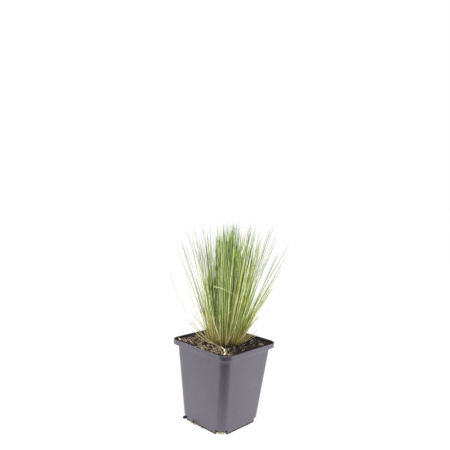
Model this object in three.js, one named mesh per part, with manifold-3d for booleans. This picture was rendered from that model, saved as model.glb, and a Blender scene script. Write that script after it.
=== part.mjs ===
// Mexican feather grass (Nassella tenuissima): a young tussock in a square 9 cm nursery pot.
//
// Frame: millimetres, +Z up, origin at the centre of the pot's underside. The pot's sides face
// +X, -X, +Y and -Y.
//
// How the tussock is laid out: thread-thin leaf blades rise in tufts from a crown set in the soil.
// Every blade leaves the crown in the upright plane through its own root and the crown's axis, and
// it leans more the further out its root lies. Blades that obey this never cross, so each tuft
// keeps a cell of space to itself all the way up, however far the cells spread apart.
import * as THREE from "three";
import { mergeVertices } from "three/addons/utils/BufferGeometryUtils.js";
import Module from "manifold-3d";

const wasm = await Module();
wasm.setup();

// ---------------------------------------------------------------- driving dimensions, mm

const GAP = 0.3; // air between touching pieces

const POT = {
  height: 95,
  rimWidth: 90, // outer, across the flats of the collar
  baseWidth: 65, // outer, across the flats at the floor
  wall: 1.0,
  floor: 1.2,
  footBevel: 0.7,
  collarHeight: 6.6, // the band that a second pot stacks into
  collarStep: 4.3, // how far the collar stands out from the wall
  // How the wall steps out into the collar: share of the step, and height above the collar's foot.
  shoulder: [
    [0, -0.5],
    [0.15, 0],
    [0.79, 0.6],
    [0.93, 1.3],
  ],
  lipRounding: 0.5,
  cornerRadius: { base: 9.5, wall: 9.8, rim: 10.6 },
  cornerSegments: 5,
  cornerNotch: 4.8, // height of the drain cut-out at each bottom corner
  drainRadius: 3.5,
  drainOffset: 16,
};

const SOIL = {
  level: 91.3, // height of the surface at the pot's wall
  mound: 1.6, // how much higher it stands round the crown
  moundReach: 28,
  lump: 0.75,
  rings: 8,
  cornerRecess: 3, // how far the compost stays back from the drain cut-outs
};

const CROWN = {
  x: 1,
  y: 1,
  radius: 15, // of the close-packed tufts
  pitch: 6, // between their centres
  pitRadius: 15.35, // of the one hole that they share
  plugTop: 94.2,
  plugDepth: 11, // from the top of each root plug to its foot
  outerRadius: 18.1, // of the ring of loose outer tufts
  outerPlaces: 20,
};

const BLADE = {
  thick: 0.46, // centre to corner of the three-sided section, at the root
  thin: 0.42, // the same where the pointed tip begins
  longest: 152,
};

// The tussock leans as a whole, and parts along a plane a little left of its middle.
const STANCE = {
  azimuth: THREE.MathUtils.degToRad(43), // the way it leans, from +X towards +Y
  tilt: 0.028, // sideways travel per millimetre of height
  parting: 0.013, // how far each side of the parting turns away, per millimetre of height
  partingOffset: 2.5,
};

const COLOURS = {
  pot: 0x54515c,
  soil: 0x3a2c22,
  innerBlade: 0x6f8f3a,
  middleBlade: 0x86a24a,
  outerBlade: 0xa3b765,
  dryBlade: 0xcdbd8a,
  root: 0xd9c7a4,
  bark: 0x7a5b3e,
  perlite: 0xe6e1d6,
};

const ROOTS = {
  count: 7,
  spread: 13, // degrees between neighbours
  x: 22.8, // where the knot sits that they come from
  y: -22.8,
  z: 4.6,
  knot: 2.4,
  reach: 9.2,
  drop: 3.3,
};

// ---------------------------------------------------------------- small tools

// A seeded stream of numbers from 0 to 1 (mulberry32).
function randomStream(seed) {
  let state = seed >>> 0;
  return () => {
    state = (state + 0x6d2b79f5) >>> 0;
    let t = state;
    t = Math.imul(t ^ (t >>> 15), t | 1);
    t ^= t + Math.imul(t ^ (t >>> 7), t | 61);
    return ((t ^ (t >>> 14)) >>> 0) / 4294967296;
  };
}

// A geometry from points and triangles, with nothing but positions in it.
function indexedGeometry(points, triangles) {
  const positions = new Float32Array(points.length * 3);
  points.forEach((p, i) => p.toArray(positions, i * 3));
  const geometry = new THREE.BufferGeometry();
  geometry.setAttribute("position", new THREE.BufferAttribute(positions, 3));
  geometry.setIndex(triangles);
  return geometry;
}

// A closed skin over a stack of rings with equal point counts, with a fan closing each end.
// Rings run anticlockwise seen from the far end of the stack.
function loft(rings, firstCentre, lastCentre) {
  const count = rings[0].length;
  const points = rings.flat();
  const triangles = [];
  for (let r = 0; r + 1 < rings.length; r++) {
    for (let i = 0; i < count; i++) {
      const j = (i + 1) % count;
      const [a, b, c, d] = [r * count + i, r * count + j, (r + 1) * count + j, (r + 1) * count + i];
      triangles.push(a, b, c, a, c, d);
    }
  }
  const first = points.push(firstCentre) - 1;
  const last = points.push(lastCentre) - 1;
  const top = (rings.length - 1) * count;
  for (let i = 0; i < count; i++) {
    const j = (i + 1) % count;
    triangles.push(first, j, i, last, top + i, top + j);
  }
  return indexedGeometry(points, triangles);
}

// A three.js geometry as a solid that can be joined and cut.
function solid(geometry) {
  const bare = geometry.clone();
  bare.deleteAttribute("normal");
  bare.deleteAttribute("uv");
  const merged = mergeVertices(bare, 1e-4);
  return new wasm.Manifold(
    new wasm.Mesh({
      numProp: 3,
      vertProperties: merged.attributes.position.array,
      triVerts: new Uint32Array(merged.index.array),
    }),
  );
}

// And back again.
function geometryOf(manifold) {
  const mesh = manifold.getMesh();
  const geometry = new THREE.BufferGeometry();
  geometry.setAttribute("position", new THREE.BufferAttribute(mesh.vertProperties, 3));
  geometry.setIndex(new THREE.BufferAttribute(mesh.triVerts, 1));
  geometry.computeVertexNormals();
  return geometry;
}

const join = (solids) => solids.reduce((whole, next) => whole.add(next));
const cut = (whole, solids) => solids.reduce((left, next) => left.subtract(next), whole);

// ---------------------------------------------------------------- threads: blades, roots, straws

// A regular ring of points round a centre, square to a direction.
function ringAround(centre, along, radius, sides) {
  const reference = new THREE.Vector3(0, 0, 1);
  if (Math.abs(along.z) > 0.9) reference.set(1, 0, 0);
  const side = reference.cross(along).normalize();
  const front = along.clone().cross(side);
  return Array.from({ length: sides }, (_, k) => {
    const turn = (2 * Math.PI * k) / sides;
    return centre
      .clone()
      .addScaledVector(side, radius * Math.cos(turn))
      .addScaledVector(front, radius * Math.sin(turn));
  });
}

// A thin rod along a list of points that turns with them.
function thread(path, radius, sides) {
  const rings = path.map((point, i) => {
    const ahead = path[Math.min(i + 1, path.length - 1)];
    const behind = path[Math.max(i - 1, 0)];
    return ringAround(point, ahead.clone().sub(behind).normalize(), radius, sides);
  });
  return loft(rings, path[0].clone(), path.at(-1).clone());
}

// A thin pointed rod along an almost straight list of points. All its rings are square to the
// line from root to tip, which keeps every one of its long faces flat.
function spike(path, radii, sides) {
  const along = path.at(-1).clone().sub(path[0]).normalize();
  const rings = radii.map((radius, i) => ringAround(path[i], along, radius, sides));
  return loft(rings, path[0].clone(), path.at(-1).clone());
}

// ---------------------------------------------------------------- pot

// One level of the pot: a square with round corners, anticlockwise seen from above.
function roundedSquare(half, radius, z) {
  const segments = POT.cornerSegments;
  const ring = [];
  for (let corner = 0; corner < 4; corner++) {
    const middle = (corner + 0.5) * (Math.PI / 2);
    const x = Math.sign(Math.cos(middle)) * (half - radius);
    const y = Math.sign(Math.sin(middle)) * (half - radius);
    for (let i = 0; i <= segments; i++) {
      const angle = (corner + i / segments) * (Math.PI / 2);
      ring.push(new THREE.Vector3(x + radius * Math.cos(angle), y + radius * Math.sin(angle), z));
    }
  }
  return ring;
}

// Half width and corner radius of the outer wall at a height below the collar.
function wallAt(z) {
  const share = z / (POT.height - POT.collarHeight);
  const top = POT.rimWidth / 2 - POT.collarStep;
  return {
    half: THREE.MathUtils.lerp(POT.baseWidth / 2, top, share),
    radius: THREE.MathUtils.lerp(POT.cornerRadius.base, POT.cornerRadius.wall, share),
  };
}

// The pot's outer surface from floor to lip as levels (inset 0), or a surface that far inside it.
function potLevels(inset) {
  const floor = inset ? POT.floor : 0;
  const foot = wallAt(floor + POT.footBevel);
  const shoulder = POT.height - POT.collarHeight + inset * 0.8;
  const wallTop = wallAt(shoulder).half;
  const rim = POT.rimWidth / 2;
  const radius = { wall: POT.cornerRadius.wall - inset, rim: POT.cornerRadius.rim - inset };
  return [
    roundedSquare(foot.half - inset - POT.footBevel, foot.radius - inset, floor),
    roundedSquare(foot.half - inset, foot.radius - inset, floor + POT.footBevel),
    ...POT.shoulder.map(([share, rise]) => {
      const half = THREE.MathUtils.lerp(wallTop, rim, share) - inset;
      return roundedSquare(half, share > 0.5 ? radius.rim : radius.wall, shoulder + rise);
    }),
    roundedSquare(rim - inset, radius.rim, POT.height - POT.lipRounding),
  ];
}

function potSolid() {
  const middle = POT.wall / 2;
  const outside = potLevels(0);
  const inside = potLevels(POT.wall).reverse();
  const crest = roundedSquare(POT.rimWidth / 2 - middle, POT.cornerRadius.rim - middle, POT.height);
  const underside = new THREE.Vector3(0, 0, 0);
  const floorTop = new THREE.Vector3(0, 0, POT.floor);
  const shell = solid(loft([...outside, crest, ...inside], underside, floorTop));
  return cut(shell, [...cornerBlocks(0, POT.cornerNotch), ...drainPins()]);
}

// Square blocks that cover the four bottom corners, up to a height.
function cornerBlocks(inwards, height) {
  const inner = POT.baseWidth / 2 - POT.cornerRadius.base - inwards;
  const size = POT.cornerRadius.base + inwards + 5;
  const below = 1;
  return [1, -1].flatMap((sx) =>
    [1, -1].map((sy) => {
      const block = new THREE.BoxGeometry(size, size, height + below);
      block.translate(sx * (inner + size / 2), sy * (inner + size / 2), (height - below) / 2);
      return solid(block);
    }),
  );
}

function drainPins() {
  const length = 4 * POT.floor;
  return [0, 1, 2, 3].map((quarter) => {
    const pin = new THREE.CylinderGeometry(POT.drainRadius, POT.drainRadius, length, 16);
    pin.rotateX(Math.PI / 2);
    pin.translate(POT.drainOffset, 0, 0);
    pin.rotateZ((quarter * Math.PI) / 2);
    return solid(pin);
  });
}

// ---------------------------------------------------------------- soil

// Crumbly relief: crossed waves of unlike lengths that never line up.
function lumps(x, y) {
  return (
    0.45 * Math.sin(0.83 * x + 0.31 * y + 1.3) +
    0.35 * Math.sin(0.52 * y - 0.71 * x + 4.1) +
    0.3 * Math.sin(1.27 * y + 0.44 * x + 2.2) +
    0.2 * Math.sin(1.71 * x - 1.13 * y)
  );
}

function soilHeight(x, y) {
  const away = Math.hypot(x - CROWN.x, y - CROWN.y) / SOIL.moundReach;
  return SOIL.level + SOIL.mound * Math.exp(-away * away) + SOIL.lump * lumps(x, y);
}

// The compost fills the pot up to the foot of the collar, and rises a little to its middle.
function soilBody() {
  const sides = potLevels(POT.wall + GAP).slice(0, -1);
  const edge = sides.at(-1);
  for (const point of sides[0]) point.z += GAP;
  const surface = Array.from({ length: SOIL.rings }, (_, r) => {
    const share = 1 - r / SOIL.rings;
    return edge.map((p) => {
      const [x, y] = [p.x * share, p.y * share];
      return new THREE.Vector3(x, y, r === 0 ? SOIL.level : soilHeight(x, y));
    });
  });
  const bottom = new THREE.Vector3(0, 0, sides[0][0].z);
  const top = new THREE.Vector3(0, 0, soilHeight(0, 0));
  return solid(loft([...sides, ...surface], bottom, top));
}

// ---------------------------------------------------------------- grass

// Where the tussock's lean and its parting carry a blade, sideways for each millimetre of height.
function stanceDrift(root) {
  const lean = new THREE.Vector2(Math.cos(STANCE.azimuth), Math.sin(STANCE.azimuth));
  const side = root.dot(lean) > STANCE.partingOffset ? 1 : -1;
  return lean.multiplyScalar(STANCE.tilt + side * STANCE.parting);
}

// A blade's points, from its root (seen from the crown's axis) to its tip. lean and bend are in
// degrees: how far it leans at its root, and how much further at its tip.
function bladePath(root, { lean, bend }, length, wander, { spans, sunk }) {
  const drift = stanceDrift(root);
  const heading = Math.atan2(root.y, root.x);
  const step = length / spans;
  const path = [];
  let [out, up] = [0, 0];
  for (let i = 0; i <= spans; i++) {
    const share = (i * step) / BLADE.longest;
    path.push(
      new THREE.Vector3(
        CROWN.x + root.x + out * Math.cos(heading) + up * (drift.x + wander.x * share),
        CROWN.y + root.y + out * Math.sin(heading) + up * (drift.y + wander.y * share),
        CROWN.plugTop - sunk + up,
      ),
    );
    const slope = THREE.MathUtils.degToRad(lean + (bend * (i + 0.5)) / spans);
    out += step * Math.sin(slope);
    up += step * Math.cos(slope);
  }
  return path;
}

function bladeSolid(path) {
  const spans = path.length - 1;
  const radii = Array.from({ length: spans }, (_, i) =>
    THREE.MathUtils.lerp(BLADE.thick, BLADE.thin, i / (spans - 1)),
  );
  return solid(spike(path, radii, 3));
}

// The plug of sheaths and roots that a tuft's blades grow from: six-sided, so that plugs pack
// close. grow makes the wider one that its hole in the soil is cut with.
function plugSolid(centre, acrossFlats, grow) {
  const radius = (acrossFlats / 2 + grow) / Math.cos(Math.PI / 6);
  return crownPrism(centre, radius, 6, grow);
}

// An upright prism as deep as the plugs, or grow deeper and higher.
function crownPrism(centre, radius, sides, grow) {
  const height = CROWN.plugDepth + 2 * grow;
  const prism = new THREE.CylinderGeometry(radius, radius, height, sides);
  prism.rotateX(Math.PI / 2);
  prism.translate(CROWN.x + centre.x, CROWN.y + centre.y, CROWN.plugTop - CROWN.plugDepth / 2);
  return solid(prism);
}

// Blade roots fill their tuft as florets fill a sunflower, which spaces them evenly.
function rootSpots(centre, reach, count, phase) {
  const golden = Math.PI * (3 - Math.sqrt(5));
  return Array.from({ length: count }, (_, k) => {
    const r = reach * Math.sqrt((k + 0.5) / count);
    const turn = phase + k * golden;
    return new THREE.Vector2(centre.x + r * Math.cos(turn), centre.y + r * Math.sin(turn));
  });
}

// Which side of the tussock a root is on: 1 on the side that it leans to, -1 on the other.
const sideOf = (root) => Math.cos(root.angle() - STANCE.azimuth);

function tuftSolid(kind, centre, seed) {
  const random = randomStream(seed);
  const count = kind.blades(sideOf(centre));
  const spots = rootSpots(centre, kind.reach, count, random() * 2 * Math.PI);
  const blades = spots.map((root) => {
    const out = root.length() / CROWN.radius;
    const habit = kind.habit(out, sideOf(root), random);
    const length = BLADE.longest * kind.length(out, random);
    const turn = random() * 2 * Math.PI;
    const wander = new THREE.Vector2(Math.cos(turn), Math.sin(turn)).multiplyScalar(kind.wander);
    return bladeSolid(bladePath(root, habit, length, wander, kind));
  });
  return join([plugSolid(centre, kind.plug, 0), ...blades]);
}

// The three kinds of tuft. plug is its width across the flats, reach how far from its middle
// roots lie, and sunk how far below its top they start. out is a root's distance from the crown's
// axis (1 at the edge of the close-packed tufts) and side is as sideOf says. habit gives degrees,
// length a share of the longest blade.
const outerShare = (out) => THREE.MathUtils.clamp((out - 1.09) / 0.16, 0, 1);
const DENSE = {
  plug: CROWN.pitch - 0.4,
  reach: 2.4,
  sunk: 2.2,
  spans: 3,
  wander: 0.008,
  blades: () => 20,
  habit: (out, side) => ({ lean: (16 + 2 * side) * out ** 1.15, bend: (3.5 * side - 8.5) * out }),
  length: (out, random) => 1 - 0.06 * out - (0.22 + 0.2 * out) * random() ** 1.5,
};
const LOOSE = {
  plug: 3.0,
  reach: 1.25,
  sunk: 1.8,
  spans: 3,
  wander: 0.02,
  blades: (side) => Math.round(8 + 2 * side),
  habit: (out, side, random) => ({
    lean: 13.5 + 2 * side + 4 * outerShare(out) + 2 * random(),
    bend: 4 + 4 * random(),
  }),
  length: (out, random) => 0.6 + 0.42 * random(),
};
const DRY = {
  plug: 3.4,
  reach: 0.8,
  sunk: 1.3,
  spans: 3,
  wander: 0.02,
  blades: () => 5,
  habit: (out, side, random) => ({ lean: 32 + 16 * outerShare(out), bend: -8 + 14 * random() }),
  length: (out, random) => 0.22 + 0.3 * random(),
};

// Centres of the close-packed tufts: the middle one and two hexagonal rings round it.
function denseCentres() {
  const centres = [new THREE.Vector2(0, 0)];
  for (let ring = 1; ring <= 2; ring++) {
    for (let side = 0; side < 6; side++) {
      const corner = (Math.PI / 3) * side;
      const next = corner + Math.PI / 3;
      for (let i = 0; i < ring; i++) {
        const x = ((ring - i) * Math.cos(corner) + i * Math.cos(next)) * CROWN.pitch;
        const y = ((ring - i) * Math.sin(corner) + i * Math.sin(next)) * CROWN.pitch;
        centres.push(new THREE.Vector2(x, y));
      }
    }
  }
  return centres;
}

function outerCentres() {
  return Array.from({ length: CROWN.outerPlaces }, (_, k) => {
    const turn = (2 * Math.PI * (k + 0.5)) / CROWN.outerPlaces;
    return new THREE.Vector2(Math.cos(turn), Math.sin(turn)).multiplyScalar(CROWN.outerRadius);
  });
}

// ---------------------------------------------------------------- bits on the soil and below

// A short length of something thin that lies on the soil, as a list of [x, y, height above it].
const STRAWS = {
  curled_dry_leaf: {
    radius: 0.55,
    colour: COLOURS.dryBlade,
    points: [
      [16.8, -23.0, 4.8],
      [20.2, -24.2, 4.0],
      [23.1, -23.8, 1.7],
      [24.0, -26.6, 1.0],
      [24.9, -29.6, 0.7],
    ],
  },
  straw_bit: {
    radius: 0.6,
    colour: COLOURS.dryBlade,
    points: [
      [-42.2, -34.4, 3.2],
      [-39.4, -35.0, 1.5],
      [-36.9, -35.5, 1.2],
    ],
  },
};

const CHIPS = {
  bark_chip_1: { at: [-22, -30], size: [6.4, 3.0, 2.0], turn: 0.4, colour: COLOURS.bark },
  bark_chip_2: { at: [-31, -19], size: [5.2, 2.8, 1.8], turn: 2.3, colour: COLOURS.bark },
  bark_chip_3: { at: [-6, -33], size: [5.6, 2.8, 1.8], turn: 5.5, colour: COLOURS.bark },
  bark_chip_4: { at: [33, 28], size: [6.0, 3.4, 2.2], turn: 0.9, colour: COLOURS.bark },
  perlite_1: { at: [17, 31], size: [2.8, 2.5, 2.3], turn: 0.3, colour: COLOURS.perlite },
  perlite_2: { at: [-20, 25], size: [2.7, 2.2, 2.0], turn: 2.0, colour: COLOURS.perlite },
};

function strawSolid({ points, radius }, grow) {
  const path = points.map(([x, y, above]) => new THREE.Vector3(x, y, soilHeight(x, y) + above));
  return solid(thread(path, radius + grow, 6));
}

// A chip or grain: a flattened ball with few faces, half sunk in the soil.
function chipSolid({ at: [x, y], size: [long, wide, high], turn }, grow) {
  const ball = new THREE.IcosahedronGeometry(1, 0);
  ball.scale(long / 2 + grow, wide / 2 + grow, high / 2 + grow);
  ball.rotateZ(turn);
  ball.translate(x, y, soilHeight(x, y) + high * 0.22);
  return solid(ball);
}

// Pale root ends that hang out of the nearest drain cut-out, from a knot behind it.
function rootTips() {
  const tips = Array.from({ length: ROOTS.count }, (_, k) => {
    const turn = (k - (ROOTS.count - 1) / 2) * ROOTS.spread;
    const heading = THREE.MathUtils.degToRad(-45 + turn);
    const reach = ROOTS.reach + 1.2 * Math.sin(2.4 * k + 0.7);
    const drop = ROOTS.drop + 0.6 * Math.sin(1.7 * k);
    const at = (out, down) =>
      new THREE.Vector3(
        ROOTS.x + out * Math.cos(heading),
        ROOTS.y + out * Math.sin(heading),
        ROOTS.z - down,
      );
    return solid(spike([at(0, 0), at(reach * 0.6, drop * 0.3), at(reach, drop)], [0.6, 0.5], 4));
  });
  return join([rootKnot(0), ...tips]);
}

function rootKnot(grow) {
  const knot = new THREE.IcosahedronGeometry(ROOTS.knot + grow, 0);
  knot.translate(ROOTS.x, ROOTS.y, ROOTS.z);
  return solid(knot);
}

// ---------------------------------------------------------------- the whole plant

function material(colour, roughness) {
  return new THREE.MeshStandardMaterial({ color: colour, roughness, metalness: 0 });
}

function add(group, name, manifold, colour, roughness = 0.8) {
  const mesh = new THREE.Mesh(geometryOf(manifold), material(colour, roughness));
  mesh.name = name;
  group.add(mesh);
}

const plant = new THREE.Group();
const holes = [];
const padded = (number) => String(number).padStart(2, "0");

add(plant, "pot", potSolid(), COLOURS.pot, 0.55);

denseCentres().forEach((centre, i) => {
  const out = centre.length() / CROWN.radius;
  const colour = out < 0.5 ? COLOURS.innerBlade : COLOURS.middleBlade;
  add(plant, `tuft_${padded(i + 1)}`, tuftSolid(DENSE, centre, 100 + i), colour);
});
holes.push(crownPrism(new THREE.Vector2(0, 0), CROWN.pitRadius, 24, GAP));

outerCentres().forEach((centre, i) => {
  const dry = i % 3 === 1;
  const kind = dry ? DRY : LOOSE;
  const name = dry ? `dry_tuft_${padded(i + 1)}` : `outer_tuft_${padded(i + 1)}`;
  const colour = dry ? COLOURS.dryBlade : COLOURS.outerBlade;
  add(plant, name, tuftSolid(kind, centre, 200 + i), colour);
  holes.push(plugSolid(centre, kind.plug, GAP));
});

for (const [name, straw] of Object.entries(STRAWS)) {
  add(plant, name, strawSolid(straw, 0), straw.colour);
  holes.push(strawSolid(straw, GAP));
}

for (const [name, chip] of Object.entries(CHIPS)) {
  add(plant, name, chipSolid(chip, 0), chip.colour);
  holes.push(chipSolid(chip, GAP));
}

add(plant, "root_tips", rootTips(), COLOURS.root);
holes.push(rootKnot(GAP), ...cornerBlocks(SOIL.cornerRecess, POT.cornerNotch + SOIL.cornerRecess));
add(plant, "soil", cut(soilBody(), holes), COLOURS.soil, 0.95);

export default plant;
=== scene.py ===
"""Mexican feather grass in its square nursery pot, dressed for rendering.

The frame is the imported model's: +Z up, origin at the centre of the pot's underside. Sizes below are
in millimetres and meshes are made in metres. The grass follows the law that the CAD tufts follow,
with the same seeded draws, so each fine tuft grows where its node stands.
"""
import math
from types import SimpleNamespace as Values

import bpy
import numpy as np
from mathutils import Matrix, Vector


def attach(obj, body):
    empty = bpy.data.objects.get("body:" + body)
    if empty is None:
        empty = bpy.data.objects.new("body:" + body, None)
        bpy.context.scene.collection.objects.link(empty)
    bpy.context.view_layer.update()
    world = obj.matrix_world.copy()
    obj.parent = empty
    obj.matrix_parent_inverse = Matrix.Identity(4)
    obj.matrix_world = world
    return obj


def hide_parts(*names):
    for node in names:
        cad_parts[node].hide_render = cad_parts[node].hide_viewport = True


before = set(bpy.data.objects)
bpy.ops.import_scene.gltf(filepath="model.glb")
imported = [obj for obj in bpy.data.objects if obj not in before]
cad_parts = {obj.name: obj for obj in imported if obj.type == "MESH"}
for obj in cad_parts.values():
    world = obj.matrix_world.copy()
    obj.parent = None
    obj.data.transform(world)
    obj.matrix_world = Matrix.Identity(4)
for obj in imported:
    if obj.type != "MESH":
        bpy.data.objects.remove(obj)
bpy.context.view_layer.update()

# -------- driving values

MM = 0.001
BODY = "root"
TURN = 2 * math.pi

# The view of the photograph, with its place in metres and its angles in degrees.
CAMERA = Values(
    place=(0.39166, -0.43088, 0.27295), azimuth=42.84, pitch=4.14, roll=2.86, lens=40.32, sensor=36.0
)
TOWARDS_CAMERA = Vector((0.680, -0.733, 0.0))
RIGHTWARDS = Vector((0.733, 0.680, 0.0))

# Rim and base are half widths. The notch is the height of the cut-out at each bottom corner.
POT = Values(
    height=95.0, rim=45.0, base=32.5, wall=1.0, floor=1.2, foot_bevel=0.7, collar=6.6, step=4.3, lip=0.5,
    corner_base=9.5, corner_wall=9.8, corner_rim=10.6, notch=4.8, drain_radius=3.5, drain_offset=16.0,
    bulge=0.35,
)
# The curve from wall to collar: where it starts below the shoulder and ends above it, then its
# control values, as shares of the step and as heights.
SHOULDER = Values(below=0.9, above=2.6, shares=(0.0, 0.03, 0.97, 1.0), rises=(-0.8, 0.3, 0.1, 1.7))
SOIL = Values(level=91.3, mound=1.6, mound_reach=28.0, lump=0.75, gap=0.15)
CROWN = Values(x=1.0, y=1.0, radius=15.0, pitch=6.0, top=94.2, outer_radius=18.1, outer_places=20)
LONGEST = 152.0
STANCE = Values(azimuth=math.radians(43), tilt=0.028, parting=0.013, parting_offset=2.5)
# The tallest blades stand in a clump a little left of the middle. Away from its middle the blades
# are fewer. Outside its half width most end lower by up to the fall, and a few stay long.
CLUMP = Values(
    across=-0.07, half=0.5, edge=0.3, ragged=0.16, fall=0.42, tallest=0.98, long=0.93, thinning=2.0,
    left_lean=0.35,
)

# -------- seeded draws, noise and curves


def dice(seed):
    return np.random.default_rng(seed)


def stream(seed):
    """Numbers from 0 to 1, the same as the CAD source draws from that seed (mulberry32)."""
    whole = 0xFFFFFFFF
    while True:
        seed = (seed + 0x6D2B79F5) & whole
        t = ((seed ^ (seed >> 15)) * (seed | 1)) & whole
        t ^= (t + (t ^ (t >> 7)) * (t | 61)) & whole
        yield (t ^ (t >> 14)) / (whole + 1)


def value_noise(x, y, cell, seed):
    """Smooth noise from -1 to 1 with blobs about cell across."""
    side = 256
    table = dice(seed).uniform(-1, 1, (side, side))
    u, v = x / cell, y / cell
    i, j = np.floor(u).astype(int), np.floor(v).astype(int)
    fu, fv = u - i, v - j
    fu, fv = fu * fu * (3 - 2 * fu), fv * fv * (3 - 2 * fv)

    def row(k):
        return table[i % side, k % side] * (1 - fu) + table[(i + 1) % side, k % side] * fu

    return row(j) * (1 - fv) + row(j + 1) * fv


def circle(count):
    """Angles all the way round, evenly spaced."""
    return np.arange(count) * TURN / count


def polar(reach, angle):
    """The x and y of points that far out at those angles, as (n, 2)."""
    return np.column_stack([reach * np.cos(angle), reach * np.sin(angle)])


def level_ring(outline, z):
    """An outline (n, 2) laid at a height, as (n, 3)."""
    return np.column_stack([outline, np.full(len(outline), z)])


def bezier(t, a, b, c, d):
    return a * (1 - t) ** 3 + 3 * (1 - t) ** 2 * t * b + 3 * (1 - t) * t * t * c + d * t**3


def smooth_path(points, spans):
    """Points along a curve through the given ones (Catmull-Rom)."""
    points = np.asarray(points, float)
    ends = np.concatenate([[2 * points[0] - points[1]], points, [2 * points[-1] - points[-2]]])
    place = np.linspace(0, len(points) - 1, spans + 1)
    i = np.minimum(place.astype(int), len(points) - 2)
    t = (place - i)[:, None]
    a, b, c, d = (ends[i + k] for k in range(4))
    return 0.5 * (2 * b + (c - a) * t + (2 * a - 5 * b + 4 * c - d) * t**2 + (3 * b - a - 3 * c + d) * t**3)


# -------- meshes and pieces


def add_object(name, data):
    obj = bpy.data.objects.new(name, data)
    bpy.context.scene.collection.objects.link(obj)
    return obj


def mesh_object(name, points, faces, **attributes):
    """An object from points in mm and arrays of faces; attributes hold one number for each point."""
    corners = np.concatenate([f.ravel() for f in faces])
    sizes = np.concatenate([np.full(len(f), f.shape[1]) for f in faces])
    mesh = bpy.data.meshes.new(name)
    mesh.vertices.add(len(points))
    mesh.vertices.foreach_set("co", (points * MM).astype(np.float32).ravel())
    mesh.loops.add(len(corners))
    mesh.loops.foreach_set("vertex_index", corners.astype(np.int32))
    mesh.polygons.add(len(sizes))
    mesh.polygons.foreach_set("loop_start", (np.cumsum(sizes) - sizes).astype(np.int32))
    for key, values in attributes.items():
        layer = mesh.attributes.new(key, "FLOAT", "POINT")
        layer.data.foreach_set("value", values.astype(np.float32))
    mesh.update(calc_edges=True)
    mesh.shade_smooth()
    return add_object(name, mesh)


def finish_piece(obj, material, slot, *nodes):
    """Gives a piece its material, and lets it ride on the body in place of its nodes. slot is not used."""
    obj.data.materials.clear()
    obj.data.materials.append(material)
    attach(obj, BODY)
    if nodes:
        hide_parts(*nodes)


def skin_faces(levels, count):
    """Faces of a closed skin over that many rings, with the points that end it after the last ring."""
    ring = np.arange(count)
    after = (ring + 1) % count
    rows = np.arange(levels - 1)[:, None] * count
    quads = np.stack([rows + ring, rows + after, rows + count + after, rows + count + ring], axis=-1)
    end, top = levels * count, (levels - 1) * count
    low_fan = np.stack([np.full(count, end), after, ring], axis=-1)
    high_fan = np.stack([np.full(count, end + 1), top + ring, top + after], axis=-1)
    return [quads.reshape(-1, 4), low_fan, high_fan]


def loft(rings, first_centre, last_centre):
    """Points and faces of a closed skin over a stack of rings."""
    rings = np.asarray(rings)
    points = np.concatenate([rings.reshape(-1, 3), [first_centre, last_centre]])
    return points, skin_faces(*rings.shape[:2])


def unit(vectors):
    return vectors / np.maximum(np.linalg.norm(vectors, axis=-1, keepdims=True), 1e-9)


def strand_skin(paths, radii, sides, turn, flat):
    """Closed tubes along paths (n, k, 3): k - 1 rings, and a point at each end.

    radii is (n, k - 1). turn (n) is how far each tube's broad side is turned, and flat is its
    thickness as a share of its width.
    """
    count, steps = paths.shape[:2]
    askew = [0.37, 0.21, 0.05]  # a direction that no strand starts in
    tangents = unit(np.gradient(paths, axis=1))[:, :-1]
    side = unit(np.cross(tangents[:, 0], askew))
    front = np.cross(tangents[:, 0], side)
    side = side * np.cos(turn)[:, None] + front * np.sin(turn)[:, None]
    angles = circle(sides)[:, None]
    points = np.empty((count, (steps - 1) * sides + 2, 3))
    for i in range(steps - 1):
        side = unit(side - tangents[:, i] * np.sum(side * tangents[:, i], axis=1, keepdims=True))
        front = np.cross(tangents[:, i], side)
        around = side[:, None] * np.cos(angles) + front[:, None] * np.sin(angles) * flat
        points[:, i * sides : (i + 1) * sides] = paths[:, i, None] + around * radii[:, i, None, None]
    points[:, -2:] = paths[:, [0, -1]]
    return points


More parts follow.
